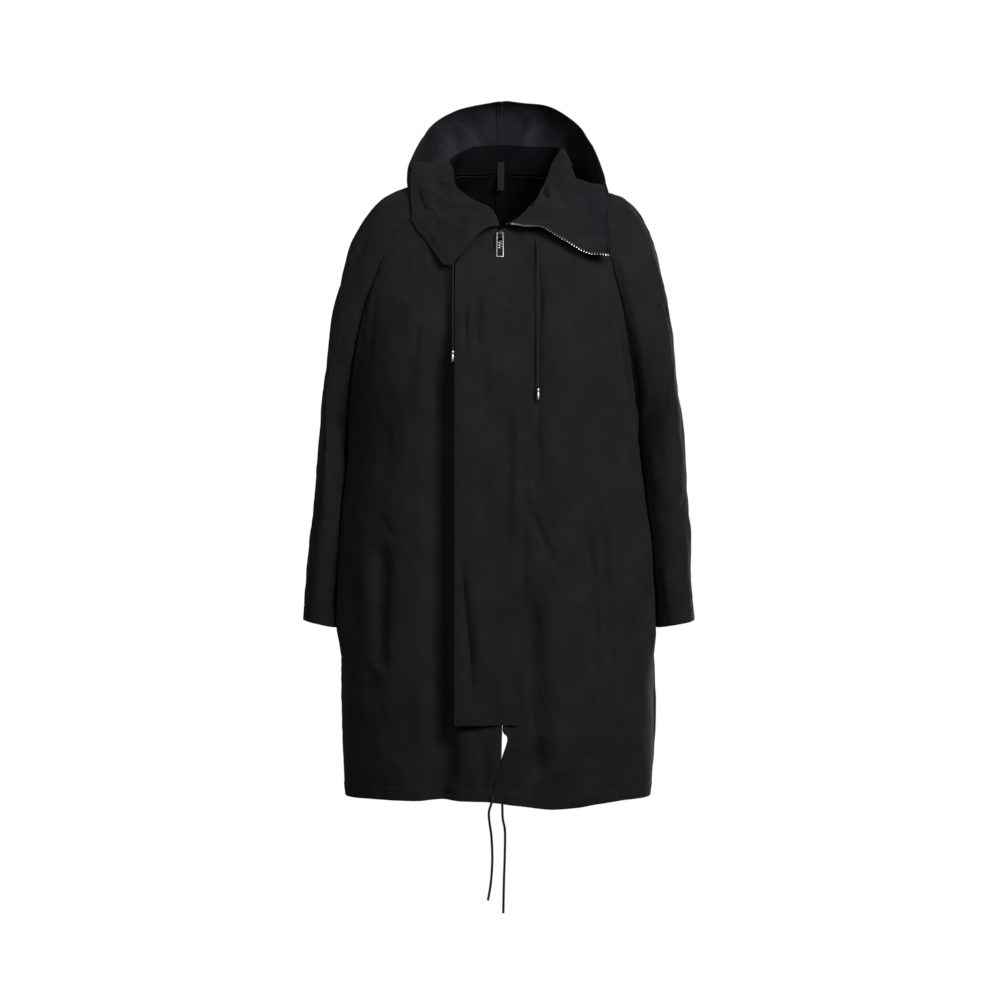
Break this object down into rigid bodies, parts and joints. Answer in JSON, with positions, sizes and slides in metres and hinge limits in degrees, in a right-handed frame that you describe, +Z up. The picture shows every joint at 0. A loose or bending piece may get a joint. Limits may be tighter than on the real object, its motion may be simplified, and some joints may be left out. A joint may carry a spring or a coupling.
{
  "type": "hooded parka",
  "caption": "Black hooded parka hanging filled out: raglan-cut sleeves, open rolled collar, zip under a storm flap, drawcords at neck and hem, open back vent.",
  "frame": {"origin": "where the shoulders carry the coat, on its middle plane and level with the base of the neck", "axes": "+Z up, -Y out of the front, +X towards the wearer's left sleeve"},
  "size_m": [0.647, 0.3839, 1.335],
  "materials": {
    "shell_cloth": "matte near-black woven cotton cloth",
    "zip_tape": "black zip tape with metal teeth",
    "metal": "polished silver-coloured metal",
    "cord": "black braided cord",
    "label": "bare dark woven ribbon"
  },
  "bodies": {
    "coat": {"front_left": "shell_cloth", "front_right": "shell_cloth", "back_left": "shell_cloth", "back_right": "shell_cloth", "sleeve_left_front": "shell_cloth", "sleeve_left_back": "shell_cloth", "sleeve_right_front": "shell_cloth", "sleeve_right_back": "shell_cloth", "hood_left": "shell_cloth", "hood_right": "shell_cloth", "collar": "shell_cloth", "storm_flap": "shell_cloth", "zip_tape": "zip_tape", "zip_chain": "zip_tape", "zip_slider": "metal", "zip_bridge": "metal", "cord_tip_left": "metal", "cord_tip_right": "metal", "neck_cord_left": "cord", "neck_cord_right": "cord", "hem_cord_left": "cord", "hem_cord_right": "cord", "neck_label": "label"},
    "pull": {"zip_pull": "metal"}
  },
  "joints": [
    {"name": "pull_swing", "type": "hinge", "parent": "coat", "child": "pull", "pos_m": [0, -0.1157, -0.08354], "axis": [-1, 0, 0], "range_deg": [0, 120]}
  ]
}
